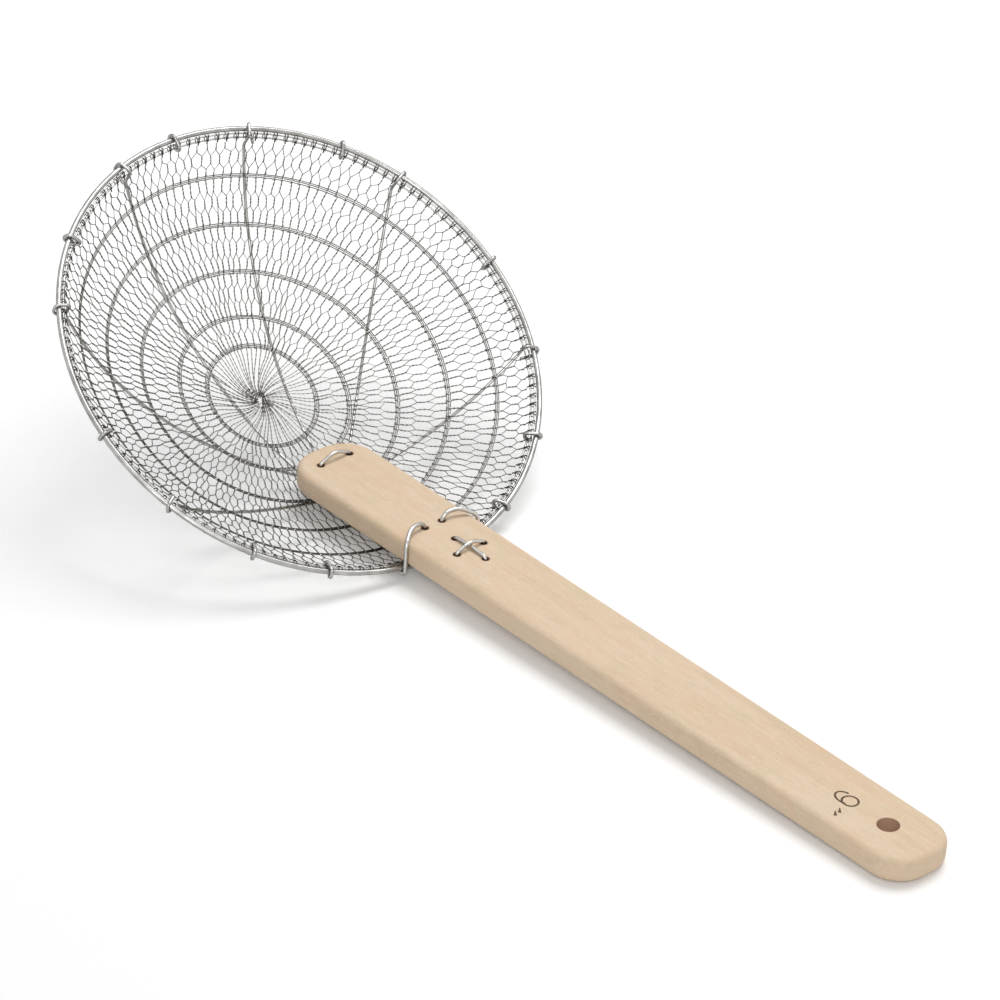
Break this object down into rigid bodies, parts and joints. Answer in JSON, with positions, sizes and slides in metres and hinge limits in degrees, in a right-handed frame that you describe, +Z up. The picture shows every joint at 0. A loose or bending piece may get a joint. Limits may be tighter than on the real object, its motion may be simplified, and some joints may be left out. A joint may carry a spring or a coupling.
{
  "type": "spider skimmer",
  "caption": "Round shallow wire basket tied to a long flat wooden handle, for lifting food out of hot oil or water.",
  "frame": {"origin": "centre of the bounding box's bottom, on the surface that the skimmer lies on", "axes": "+X towards the free end of the handle, +Y to the left seen from above with the handle ahead, +Z up"},
  "size_m": [0.4856, 0.232, 0.1345],
  "materials": {
    "handle_wood": "sanded, pale and lightly mottled",
    "bright_wire": "bright drawn steel wire",
    "net_wire": "thin bright twisted wire",
    "tie_wire": "bright soft steel wire"
  },
  "bodies": {
    "root": {"handle": "handle_wood", "rim": "bright_wire", "outer_selvedge_wire": "bright_wire", "inner_selvedge_wire": "bright_wire", "net_band_1": "net_wire", "net_band_2": "net_wire", "net_band_3": "net_wire", "net_band_4": "net_wire", "net_band_5": "net_wire", "net_ring_1": "net_wire", "net_ring_2": "net_wire", "net_ring_3": "net_wire", "net_ring_4": "net_wire", "net_ring_5": "net_wire", "net_centre": "net_wire", "net_centre_knot": "net_wire", "rib_1": "bright_wire", "rib_2": "bright_wire", "rib_3": "bright_wire", "rib_4": "bright_wire", "rib_5": "bright_wire", "rib_6": "bright_wire", "rim_clip_1": "bright_wire", "rim_clip_2": "bright_wire", "rim_clip_3": "bright_wire", "rim_clip_4": "bright_wire", "rim_clip_5": "bright_wire", "rim_clip_6": "bright_wire", "rim_clip_7": "bright_wire", "rim_clip_8": "bright_wire", "rim_clip_9": "bright_wire", "tip_staple": "tie_wire", "lengthwise_stitch": "tie_wire", "crosswise_stitch": "tie_wire", "left_handle_loop": "tie_wire", "right_handle_loop": "tie_wire"}
  },
  "joints": []
}
